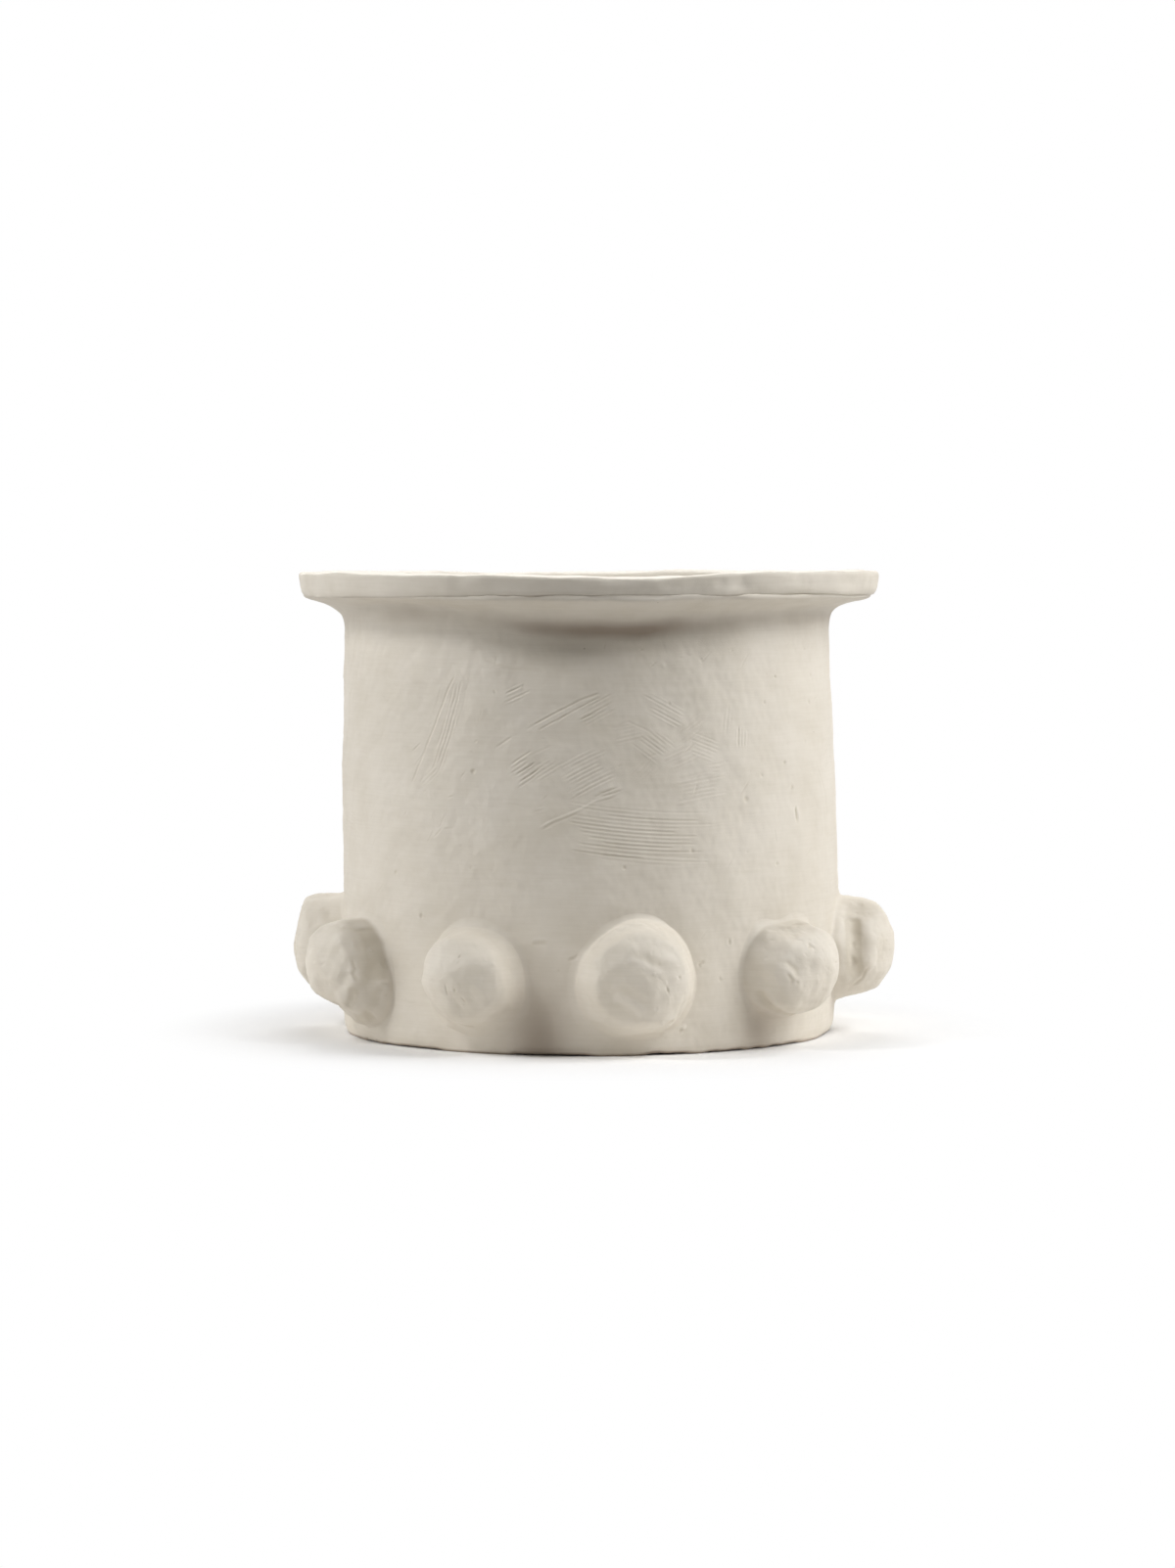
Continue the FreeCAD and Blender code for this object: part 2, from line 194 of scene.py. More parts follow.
def rib_drag(right, up, length, breadth, tilt, bend, tooth, depth, seed):
    """Relief of one drag of the serrated rib. Across the drag it is a squared cosine for each tooth; each
    groove has its own depth and starts and stops at its own place along the drag."""
    turn = np.radians(tilt)
    along = right * np.cos(turn) + up * np.sin(turn)
    over = up * np.cos(turn) - right * np.sin(turn) + bend * along**2
    count = int(breadth / tooth) + 3
    draw = np.random.default_rng(seed)
    depths = depth * draw.uniform(0.35, 1.0, count)
    starts = length * (-0.5 + 0.16 * draw.normal(size=count))
    stops = length * (0.5 + 0.16 * draw.normal(size=count))
    number = np.round(over / tooth)
    groove = np.clip(number + count // 2, 0, count - 1).astype(int)
    cut = np.cos(np.pi * (over / tooth - number)) ** 2 - 0.42
    ends = eased((along - starts[groove]) / 5) * eased((stops[groove] - along) / 5)
    sides = eased((breadth / 2 - np.abs(over)) / tooth)
    return -depths[groove] * cut * ends * sides


def tool_line(right, up, places, width, depth):
    """Relief of one tool line through some places: as deep as a bell curve of the distance from the line,
    with a lip of pushed clay beside it, and thinning out over its last few millimetres."""
    nearest = np.full(right.shape, np.inf)
    run = np.zeros(right.shape)
    passed = 0.0
    for start, end in zip(places[:-1], places[1:]):
        way = end - start
        length = np.hypot(*way)
        share = np.clip(((right - start[0]) * way[0] + (up - start[1]) * way[1]) / length**2, 0, 1)
        gap = np.hypot(right - start[0] - share * way[0], up - start[1] - share * way[1])
        run = np.where(gap < nearest, passed + share * length, run)
        nearest = np.minimum(nearest, gap)
        passed += length
    taper = min(4.0, passed / 2)
    ends = eased(run / taper + 0.1) * eased((passed - run) / taper + 0.1)
    cut = np.exp(-((nearest / width) ** 2)) - 0.3 * np.exp(-(((nearest - 2 * width) / width) ** 2))
    return -depth * cut * ends


def pit(right, up, radius, depth):
    """Relief of one pit: a bell-shaped hole with its depth in the middle."""
    return -depth * np.exp(-((right**2 + up**2) / radius**2) ** 1.4)


def strewn_pits():
    """Rows for the small pits, drawn evenly round and up the wall and mostly shallow."""
    draw = np.random.default_rng(31)
    ranges = ((-180, 180), (8, 275), (0.7, 1.2), (0, 1))
    azimuth, height, radius, share = (draw.uniform(*ends, MORE_PITS) for ends in ranges)
    return zip(azimuth, height, radius, 0.1 + 0.4 * share**2)


def strewn_scratches():
    """Rows for the fine scratches, drawn evenly round and up the wall: short straight lines, most of them
    slanting up to the right."""
    draw = np.random.default_rng(32)
    middle = np.stack([draw.uniform(-180, 180, SCRATCHES), draw.uniform(6, 272, SCRATCHES)], -1)
    slant = np.radians(draw.normal(38, 34, SCRATCHES))
    half = draw.uniform(1.5, 7, SCRATCHES)
    way = np.stack([np.cos(slant) / (np.radians(1) * WALL_BELLY), np.sin(slant)], -1) * half[:, None]
    depth = 0.08 + 0.3 * draw.uniform(0, 1, SCRATCHES) ** 2
    return [(0.5, deep, start, end) for deep, start, end in zip(depth, middle - way, middle + way)]


def tool_marks(azimuth, height):
    """Relief of all the marks cut into the wall. Each is worked out only near its own middle, from the
    distances round the wall and up from there."""
    azimuth, height = np.broadcast_arrays(azimuth, height)
    around = azimuth * WALL_BELLY
    relief = np.zeros(around.shape)
    jobs = []
    for number, (turn, middle, *rest) in enumerate(RIB_DRAGS):
        jobs.append((rib_drag, turn, middle, 0.62 * np.hypot(*rest[:2]) + 6, (*rest, 40 + number)))
    for width, depth, *path in (*TOOL_LINES, *strewn_scratches()):
        turn, middle = (np.max(path, axis=0) + np.min(path, axis=0)) / 2
        places = (np.array(path) - (turn, middle)) * (np.radians(1) * WALL_BELLY, 1.0)
        jobs.append((tool_line, turn, middle, np.abs(places).max() + 6, (places, width, depth)))
    jobs += [(pit, turn, middle, 5, rest) for turn, middle, *rest in (*PITS, *strewn_pits())]
    for mark, turn, middle, reach, rest in jobs:
        right = across_seam(around - np.radians(turn) * WALL_BELLY)
        near = (np.abs(right) < reach) & (np.abs(height - middle) < reach)
        if near.any():
            relief[near] += mark(right[near], height[near] - middle, *rest)
    return relief


# Hollow that the thumb left in the neck: azimuth and half width in degrees, height and half height
NECK_HOLLOW = (6, 23, 280, 15)
NECK_HOLLOW_DEPTH = 5.6


def degrees_from(azimuth, middle):
    """Degrees from a middle to each azimuth, the short way round."""
    return (np.degrees(azimuth) - middle + 180) % 360 - 180


def neck_hollow(azimuth, height):
    """The hollow's depth at each point, as a share of its greatest: a bell curve up and down, and one
    with a flat top to each side."""
    middle, width, level, tall = NECK_HOLLOW
    aside = degrees_from(azimuth, middle) / width
    return np.exp(-np.abs(aside) ** 3 - ((height - level) / tall) ** 2)


# how much higher the corner under the rim lies, every thirty-second of a turn from the front
CORNER_CLIMB = np.array([
    0.9, 0.2, 3.2, 5, 5.9, 6.6, 6.5, 5.5, 4.5, 3.3, 2.2, 1.6, 1, 2, 3, 2.4,
    1.8, 0.9, 0, 1, 2, 2.6, 3.2, 2.4, 1.6, 4.8, 7.6, 9.8, 11, 9.8, 7, 2.4,
])


def round_the_pot(azimuth, values):
    """Values given at even steps round the pot from the front, eased between them."""
    place = (azimuth % FULL_TURN) / FULL_TURN * len(values)
    low = place.astype(int) % len(values)
    share = (1 - np.cos(np.pi * (place - np.floor(place)))) / 2
    return values[low] * (1 - share) + values[(low + 1) % len(values)] * share


# Painted shade in the bare clay's colour in the corner under the rim, and the bare foot edge with painted
# contact shade: a height, and how far up from there it changes
CORNER_SHADE_FROM, CORNER_SHADE_TO, BARE_FOOT_AND_CONTACT_SHADE = (272, 8), (281, 10), (0.6, 1.4)
# strength of the painted shade in the corner under the rim: all round, more to the right, more here and
# there, more in the hollow
CORNER_SHADE_ALL_ROUND, CORNER_SHADE_TO_THE_RIGHT, CORNER_SHADE_UNEVEN, CORNER_SHADE_IN_HOLLOW = 0.16, 0.11, 0.08, 0.84
# painted shadows in the crooks between the knobs, where the knobs shade the wall: azimuth, height, half
# width in degrees, half height, strength
PAINTED_CROOK_SHADOWS = (
    (-11.4, 8, 6.6, 36, 0.78), (42, 14, 5.6, 20, 0.55), (104, 20, 4.6, 24, 0.3),
    (139.4, 22, 4.4, 22, 0.34), (174.6, 18, 5, 26, 0.4), (209.8, 20, 4.6, 22, 0.3),
    (245.4, 18, 4.8, 24, 0.34),
)


def painted_shade_and_bare_foot(azimuth, height):
    """How much bare clay colour lies over the engobe, from 0 to 1. Under the rim it is painted shade, an S
    up to the corner and one down beyond it, uneven round the pot and most in the hollow; in each crook, a
    bell curve of painted shadow. At the edge of the foot it is full: the unglazed foot, with painted
    contact shade."""
    level = height - round_the_pot(azimuth, CORNER_CLIMB)
    corner, beyond, foot = (
        eased((at - start) / reach)
        for at, (start, reach) in ((level, CORNER_SHADE_FROM), (level, CORNER_SHADE_TO), (height, BARE_FOOT_AND_CONTACT_SHADE))
    )
    uneven = CORNER_SHADE_UNEVEN * clay(ring(azimuth, 170, height), 15, 90, 16, 16, 1.0)
    evenly = CORNER_SHADE_ALL_ROUND + CORNER_SHADE_TO_THE_RIGHT * np.sin(azimuth) + uneven
    share = corner * (1 - beyond) * (evenly + CORNER_SHADE_IN_HOLLOW * neck_hollow(azimuth, height)) + 1 - foot
    for middle, level, wide, tall, most in PAINTED_CROOK_SHADOWS:
        aside = degrees_from(azimuth, middle) / wide
        share = share + most * np.exp(-(aside**2) - ((height - level) / tall) ** 2)
    return np.clip(share, 0, 1)


def painted_shade_and_bare_foot_at(points):
    """The share of bare clay colour, painted shade and the unglazed foot, at points in space, from their
    azimuth and height.
    """
    return painted_shade_and_bare_foot(np.arctan2(points[..., 0], -points[..., 1]), points[..., 2])


def wall_point(azimuth, height, out=0.0):
    """A point on the outside of the wall, or out from it: the drawn-in belly radius, its bulges and the
    hollow in its neck, the pressed and wiped clay and the tool marks, all leaning a little."""
    share = height / WALL_HEIGHT
    drawn_in, lean = (smooth_through(share, WALL_OUTLINE[0], values) for values in WALL_OUTLINE[1:])
    radius = WALL_BELLY - drawn_in + WALL_WAVE * bulges(azimuth, WALL_BULGES)
    radius = radius - NECK_HOLLOW_DEPTH * neck_hollow(azimuth, height)
    smooth = ring(azimuth, radius, height)
    dressed = 1 - WALL_DRESSED * np.sin(azimuth)
    radius = radius + pressed(smooth, dressed) + wiped(smooth, 0.8 * dressed) + tool_marks(azimuth, height)
    points = ring(azimuth, radius + out, height)
    points[..., 0] -= lean
    return points


def spaced(*stretches):
    """Places along a line: each stretch, a start, an end and a step, is divided evenly."""
    places = (
        np.linspace(start, end, int(np.ceil(abs(end - start) / step)), endpoint=False)
        for start, end, step in stretches
    )
    return np.concatenate([*places, [stretches[-1][1]]])


def facing(grid, round_rows=True, round_columns=True):
    """Unit normals of a grid of points: the cross product of the ways to the next column and the next
    row, each taken between the neighbours on both sides."""
    ways = (
        np.roll(grid, -1, axis) - np.roll(grid, 1, axis) if closed else np.gradient(grid, axis=axis)
        for axis, closed in ((1, round_columns), (0, round_rows))
    )
    normal = np.cross(*ways)
    return normal / np.maximum(np.linalg.norm(normal, axis=-1, keepdims=True), 1e-9)


def quads(rows, columns, round_rows, round_columns):
    """Corner numbers of the faces of a grid, where a way that is round joins its end to its start."""
    number = np.arange(rows * columns).reshape(rows, columns)
    if round_rows:
        number = np.vstack([number, number[:1]])
    if round_columns:
        number = np.hstack([number, number[:, :1]])
    corners = (number[:-1, :-1], number[:-1, 1:], number[1:, 1:], number[1:, :-1])
    return np.stack(corners, -1).reshape(-1, 4)


def clay_piece(name, points, faces, nodes, relief=None, bare_foot_and_painted_shade=None, normals=None):
    """One piece from points in millimetres and arrays of faces, each array with its own corner count.
    relief goes to the material as how far each point stands above the clay round it; the other array, as
    how much bare clay colour lies there: the unglazed foot, and painted shade under the rim, in creases
    and between the knobs."""
    mesh = bpy.data.meshes.new(name)
    corners = [face for group in faces for face in group.tolist()]
    mesh.from_pydata((points / MILLIMETRES).tolist(), [], corners)
    mesh.shade_smooth()
    for label, values in (("relief", relief), ("bare_foot_and_painted_shade", bare_foot_and_painted_shade)):
        values = np.zeros(len(points)) if values is None else values.ravel()
        mesh.attributes.new(label, "FLOAT", "POINT").data.foreach_set("value", values.astype(np.float32))
    if normals is not None:
        mesh.normals_split_custom_set_from_vertices(normals.astype(np.float32))
    piece = bpy.data.objects.new(name, mesh)
    bpy.context.scene.collection.objects.link(piece)
    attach(piece, "root")
    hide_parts(*nodes)
    return piece


WALL_FOOT_LIFT = 1.1  # how far the worn foot rises here and there
# the place worn most: its azimuth and half width in degrees, and its rise
FOOT_CHIP, FOOT_CHIP_WIDTH, FOOT_CHIP_RISE = 19, 5, 1.3


def wall_inside(azimuth, height):
    """A point on the inside: the straight radius, pressed and wiped by hand."""
    smooth = ring(azimuth, WALL_INSIDE, height)
    return ring(azimuth, WALL_INSIDE - pressed(smooth + 500, 0.8) - wiped(smooth, 1.6), height)


def make_wall(name, first, last, step, heights):
    """Part of the wall, between two azimuths in degrees: its section is carried round, from the foot up
    the outside, over the top, down the inside and across the foot. One more column at each end gives
    the normals there, so that the parts meet without a seam, and each end is closed inside the clay."""
    azimuth = np.radians(spaced((first, last, step)))
    step = azimuth[1] - azimuth[0]
    azimuth = np.concatenate([[azimuth[0] - step], azimuth, [azimuth[-1] + step]])
    turn = np.radians(np.linspace(6, 84, 5))[:, None]
    inner_heights = spaced((WALL_HEIGHT, 26, 3.4), (26, WALL_FOOT_INNER_ROUND, 6))[:, None]
    outer_heights, drawn_in = WALL_FOOT_ROUND * (1 - np.cos(turn)), WALL_FOOT_ROUND * (1 - np.sin(turn))
    outer_edge = wall_point(azimuth, outer_heights, -drawn_in)
    inner_edge = wall_inside(azimuth, WALL_FOOT_INNER_ROUND * (1 - np.sin(turn)))
    inner_edge += ring(azimuth, WALL_FOOT_INNER_ROUND * (1 - np.cos(turn)), 0)
    share = np.linspace(0, 1, 8)[1:-1, None, None]
    foot = (1 - share) * inner_edge[-1] + share * outer_edge[0]
    outside = wall_point(azimuth, heights[:, None])
    grid = np.concatenate([outer_edge, outside, wall_inside(azimuth, inner_heights), inner_edge, foot])
    lift = WALL_FOOT_LIFT * eased(0.55 + 0.6 * clay(grid, 14, 70, 9, 30, 1.0))
    lift += FOOT_CHIP_RISE * np.exp(-((degrees_from(azimuth, FOOT_CHIP) / FOOT_CHIP_WIDTH) ** 4))
    grid[..., 2] += lift * eased(1 - grid[..., 2] / 6)
    normals = facing(grid, True, False)[:, 1:-1]
    grid = grid[:, 1:-1]
    section, count = len(grid), grid[..., 0].size
    ends = np.arange(section) + count
    faces = [quads(*grid.shape[:2], True, False), ends[None, :], (ends + section)[None, ::-1]]
    points = np.concatenate([grid.reshape(-1, 3), grid[:, 0], grid[:, -1]])
    outwards = (azimuth[1] - np.pi / 2, azimuth[-2] + np.pi / 2)
    sideways = [np.tile(ring(way, 1, 0), (section, 1)) for way in outwards]
    outer = slice(len(turn), len(turn) + len(heights))
    marks, bare_foot_and_painted_shade = np.zeros((2, *grid.shape[:2]))
    marks[outer] = tool_marks(azimuth[1:-1], heights[:, None])
    # the rounded foot edge in full bare clay colour: the unglazed foot, with painted contact shade; above
    # it, painted shade under the rim and between the knobs
    bare_foot_and_painted_shade[:outer.start] = 1
    bare_foot_and_painted_shade[outer] = painted_shade_and_bare_foot(azimuth[1:-1], heights[:, None])
    relief, bare_foot_and_painted_shade = (np.concatenate([values.ravel(), np.zeros(2 * section)]) for values in (marks, bare_foot_and_painted_shade))
    normals = np.concatenate([normals.reshape(-1, 3), *sideways])
    return clay_piece(name, points, faces, ["wall"], relief, bare_foot_and_painted_shade, normals)


fine_heights = spaced((WALL_FOOT_ROUND, 116, 1.2), (116, 252, 0.62), (252, 284, 1.3), (284, WALL_HEIGHT, 4))
plain_heights = spaced((WALL_FOOT_ROUND, 110, 1.6), (110, 284, 1.15), (284, WALL_HEIGHT, 4))
walls = [
    make_wall("clay_wall_front_left", -57, -3, 0.27, fine_heights),
    make_wall("clay_wall_front_right", -3, 51, 0.27, fine_heights),
    make_wall("clay_wall_right", 51, 177, 0.42, plain_heights),
    make_wall("clay_wall_left", 177, 303, 0.42, plain_heights),
]

# Rim. A flat slab ring of the same clay, laid over the wall while it was soft and squeezed between
# thumb and finger all round, so that its edge waves and its top dips.

RIM_THICKNESS = 14.2
RIM_TOP = WALL_HEIGHT + RIM_THICKNESS  # middle height of its top
RIM_RADIUS = 200.6
RIM_EDGE_WAVE = 1.1
RIM_SAG = 4.2
RIM_DENTS = 46  # of fingers along the edge
# bulges of the edge: how many, share of the wave, azimuth of the first
RIM_BULGES = ((1, 0.7, -90), (2, 1, 90), (3, 0.5, 100), (4, 0.3, 65), (7, 0.25, 0))
# height of the top every thirty-second of a turn from the front, as shares of the sag
RIM_DIPS = np.array([
    -0.22, -0.3, 0.24, 0.6, 0.5, 0.58, 0.46, 0.3, 0.18, -0.05, -0.2, -0.1, -0.06, -0.12, -0.1, -0.24,
    -0.3, -0.42, -0.5, -0.3, -0.2, 0, 0.1, 0.16, 0.12, 0.1, 0.16, 0.24, 0.2, 0.2, 0.26, 0,
])
# how far the lower lip of the edge hangs down every sixteenth of a turn, in millimetres
RIM_LIP = np.array([0.1, 0.7, -0.9, 0.3, 1.4, 1.6, 0.6, 1.8, 1.2, 0.4, 1.6, 0.8, 2.2, 2.4, 2.2, 0.9])
# strength of the painted shade there, in bare clay colour, in the crease below the edge
RIM_CREASE_SHADE = np.array([0.8, 0.5, 0.1, 0, 0.1, 0.3, 0.4, 0.2, 0.4, 0.3, 0.1, 0.3, 0.1, 0, 0.3, 0.6])
# section, from the underside's outer corner over the top to the mouth and back: inset from the edge,
# depth below the top, share of the dips, share of the edge's wave, share of the lip
RIM_SECTION = np.array([
    (4.6, 14.2, 0, 1, 1), (3.7, 13.9, 0, 1, 1), (2.9, 13, 0.05, 1, 1), (1.8, 11.2, 0.25, 1, 0.8),
    (0.8, 8, 0.6, 1, 0.4), (0.05, 4.2, 0.9, 1, 0.1), (0.1, 2, 1, 1, 0), (0.9, 0.7, 1, 1, 0),
    (2.6, 0.2, 1, 1, 0), (6.5, 0, 1, 1, 0), (15, 0, 0.9, 0.7, 0), (24.5, 0.2, 0.8, 0.4, 0),
    (36, 0.3, 0.66, 0.1, 0), (40.4, 0.8, 0.6, 0, 0), (42.8, 1.9, 0.6, 0, 0), (44.2, 3.9, 0.6, 0, 0),
    (44.6, 6.4, 0.5, 0, 0), (44.6, 12.6, 0.1, 0, 0), (44.3, 14.4, 0, 0, 0), (43, 15.6, 0, 0, 0),
    (24, 15.6, 0, 0.5, 0), (6.5, 14.2, 0, 1, 0.9), (4.6, 14.2, 0, 1, 1),
]).T


def way_run(across, up):
    """How far along a line each of its points is: the lengths of the steps, added up."""
    return np.concatenate([[0], np.cumsum(np.hypot(np.diff(across), np.diff(up)))])


def along_section(section, *stretches):
    """A section's columns at new places: each is carried smoothly through its rows by the way run along
    the section. A stretch is a start, an end and a step, all in rows of the table."""
    run = way_run(*section[:2])
    where = np.interp(spaced(*stretches), np.arange(len(run)), run)[:, None]
    return [smooth_through(where, run, column) for column in section]


def rim_grid():
    """Points of the rim: the edge radius less the inset, with its bulges, and the top's height less the
    depth, with its dips and its lip; then pressed along the normals, least on the flat underside. With
    them, painted shade in bare clay colour in the crease below the lip."""
    azimuth = np.arange(0, FULL_TURN, FULL_TURN / 880)
    inset, depth, sag, wave, lip = along_section(
        RIM_SECTION, (0, 10, 0.25), (10, 12, 0.11), (12, 17, 0.4),
        (17, 19, 0.5), (19, 21, 0.16), (21, 21.9, 0.3),
    )
    radius = RIM_RADIUS - inset + wave * RIM_EDGE_WAVE * bulges(azimuth, RIM_BULGES)
    drop = depth + lip * round_the_pot(azimuth, RIM_LIP)
    grid = ring(azimuth, radius, RIM_TOP + sag * RIM_SAG * round_the_pot(azimuth, RIM_DIPS) - drop)
    hidden = eased((inset - 6) / 4) * eased(depth - 13)
    relief = pressed(grid) - 0.4 + wiped(grid, 1.2) + finger_dents(azimuth, inset, depth)
    # painted shade in bare clay colour in the crease under the edge, uneven round the rim
    under = eased((depth - 12.4) / 1.2) * (1 - eased((inset - 6) / 3))
    uneven = 1 + 0.4 * clay(ring(azimuth, RIM_RADIUS, 0), 53, 60, 8, 16, 1.0)
    crease_shade = np.clip(under * uneven * round_the_pot(azimuth, RIM_CREASE_SHADE), 0, 1)
    return grid + facing(grid) * ((1 - hidden) * relief)[..., None], crease_shade


def finger_dents(azimuth, inset, depth):
    """Shallow dents that fingers left along the edge: rounded dips at uneven places round the rim, on
    the upper corner and the face of the edge."""
    draw = np.random.default_rng(51)
    places = np.linspace(0, FULL_TURN, RIM_DENTS, endpoint=False) + draw.normal(size=RIM_DENTS) * 0.05
    widths, deep, levels = (draw.uniform(*ends, RIM_DENTS) for ends in ((0.03, 0.075), (0.2, 1.2), (1, 9)))
    dents = 0
    for place, width, most, level in zip(places, widths, deep, levels):
        turn = (azimuth - place + np.pi) % FULL_TURN - np.pi
        dents = dents + most * np.exp(-((turn / width) ** 2) - ((depth - level) / 4.5) ** 2)
    return -np.exp(-((inset / 5) ** 2)) * dents


def ring_piece(name, node, grid, bare_foot_and_painted_shade=None):
    """One piece from a grid that joins up both ways and has no cut marks."""
    faces = [quads(*grid.shape[:2], True, True)]
    return clay_piece(name, grid.reshape(-1, 3), faces, [node], bare_foot_and_painted_shade=bare_foot_and_painted_shade)


rim = ring_piece("clay_rim", "rim_slab", *rim_grid())

# Cove. A coil pushed into the corner under the rim and smeared with the thumb, down on to the wall and
# out under the slab, which leaves a hollow face and a small step below the slab's edge.

# out from the wall, depth below the slab; it runs on hidden into the slab and the wall
COVE_SECTION = np.array([
    (-0.3, 31), (-0.02, 27.6), (0.3, 24.6), (1, 21.1), (2.6, 17.7), (4.7, 14.9), (7.8, 11.9), (12.3, 9),
    (19.4, 6), (26, 3.6), (28.2, 2.4), (28.8, 1.2), (28.4, -1.4), (10, -2.4), (-2.6, -2.4), (-3, 10),
    (-2.6, 28), (-0.3, 31),
]).T


def cove_grid():
    """Points of the cove: out from the wall by the section, whose corner climbs away from the front, with
    the thumb's smears along it."""
    azimuth = np.arange(0, FULL_TURN, FULL_TURN / 900)
    out, depth = along_section(COVE_SECTION, (0, 11, 0.22), (11, 12, 0.5), (12, 16.5, 1))
    climb = round_the_pot(azimuth, CORNER_CLIMB) * np.exp(-(((depth - 19) / 10) ** 2))
    grid = wall_point(azimuth, WALL_HEIGHT - depth + climb, out)
    smeared = eased(depth / 2) * eased(out / 3) * (pressed(grid + 300, 0.8) + wiped(grid, 1.5))
    return grid + facing(grid) * smeared[..., None]


cove_points = cove_grid()
# the cove carries the painted shade under the rim, in bare clay colour
cove = ring_piece("clay_cove", "rim_cove_coil", cove_points, painted_shade_and_bare_foot_at(cove_points))

# Floor. A slab cut to the inside of the wall and beaten down level, with a drain hole cut through its
# middle and the hole's edges wiped round.

FLOOR_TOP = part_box("floor_slab")[1].z * MILLIMETRES
FLOOR_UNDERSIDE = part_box("floor_slab")[0].z * MILLIMETRES
# section, from the wall in over the top, through the hole and back below: radius, height in the slab
FLOOR_SECTION = np.array([
    (156.4, 0.5), (156, 1), (90, 1), (20, 1), (14.4, 0.98), (12.8, 0.93), (12, 0.82), (12, 0.18),
    (12.8, 0.06), (14.4, 0.01), (20, 0), (90, 0), (156, 0), (156.4, 0.5),
]).T


def floor_grid():
    """Points of the floor: the section turned about the axis, with a beaten and wiped top and a plainer
    underside."""
    azimuth = np.arange(0, FULL_TURN, FULL_TURN / 300)
    places = spaced((0, 1, 1), (1, 3, 0.035), (3, 9, 0.34), (9, 12, 0.04), (12, 12.9, 0.5))[:, None]
    rows = np.arange(FLOOR_SECTION.shape[1])
    radius, share = (np.interp(places, rows, column) for column in FLOOR_SECTION)
    grid = ring(azimuth, radius, FLOOR_UNDERSIDE + share * (FLOOR_TOP - FLOOR_UNDERSIDE))
    relief = pressed(grid, 1.1) + wiped(grid[..., [2, 1, 0]], 1.0)
    relief *= 1 - eased((radius - 150) / 5)
    return grid + facing(grid) * (relief - 0.3)[..., None]


floor_slab = ring_piece("clay_floor", "floor_slab", floor_grid())

# Floor coil. A thin coil pressed into the corner of floor and wall from inside, to seal the joint,
# and drawn out with a fingertip at every step round.

# in from the wall, up from the floor: the hollow face, then hidden back through the clay
COIL_SECTION = np.array([
    (13.5, -0.6), (11, 0.5), (7.4, 1.7), (4.6, 3.4), (2.6, 5.6), (1.3, 8.2), (0.5, 11), (-0.6, 13.5),
    (-3, 10), (-3, -3), (9, -3), (13.5, -0.6),
]).T
COIL_PINCHES = 64  # fingertip marks round the coil


def coil_grid():
    """Points of the floor coil: the section turned about the axis, its face dented by a fingertip at even
    steps that wander a little."""
    azimuth = np.arange(0, FULL_TURN, FULL_TURN / 640)
    inward, up = along_section(COIL_SECTION, (0, 7, 0.25), (7, 10.5, 1))
    grid = ring(azimuth, WALL_INSIDE - inward, FLOOR_TOP + up)
    wander = clay(ring(azimuth, 60, 0), 61, 60, 20, 8, 0.8)
    pinch = np.abs(np.cos((azimuth * COIL_PINCHES + wander) / 2)) - 0.6
    face = eased(inward / 3) * eased(up / 3)
    return grid + facing(grid) * (face * (1.4 * pinch + pressed(grid, 0.6)))[..., None]


floor_coil = ring_piece("clay_floor_coil", "floor_coil", coil_grid())

# Knobs. Ten balls of clay pressed on round the foot. Each was slapped flat in places with thumb and palm,
# and its edge was smeared out on to the wall, which makes it flare there.

KNOB_HEART = 14.0  # out from the belly to the point that the presses are measured from
# section, from the smeared edge to the tip: share of the reach, millimetres out from that, share of the
# head, share of what the base stands out from the head, millimetres outside both
KNOB_SECTION = np.array([
    (0, -0.5, 1, 1, 8), (0, -0.1, 1, 1, 4.6), (0, 0.35, 1, 1, 2.4), (0, 1.2, 1, 1, 0.5),
    (0.03, 1.2, 1, 0.96, 0), (0.08, 0.9, 1, 0.88, 0), (0.14, 0.4, 1, 0.8, 0), (0.23, 0, 1, 0.68, 0),
    (0.34, 0, 1, 0.54, 0), (0.5, 0, 1, 0.34, 0), (0.62, 0, 0.99, 0.17, 0), (0.7, 0, 0.955, 0.07, 0),
    (0.77, 0, 0.875, 0, 0), (0.84, 0, 0.75, 0, 0), (0.895, 0, 0.6, 0, 0), (0.94, 0, 0.44, 0, 0),
    (0.975, 0, 0.27, 0, 0), (0.995, 0, 0.11, 0, 0), (1, 0, 0.02, 0, 0),
]).T
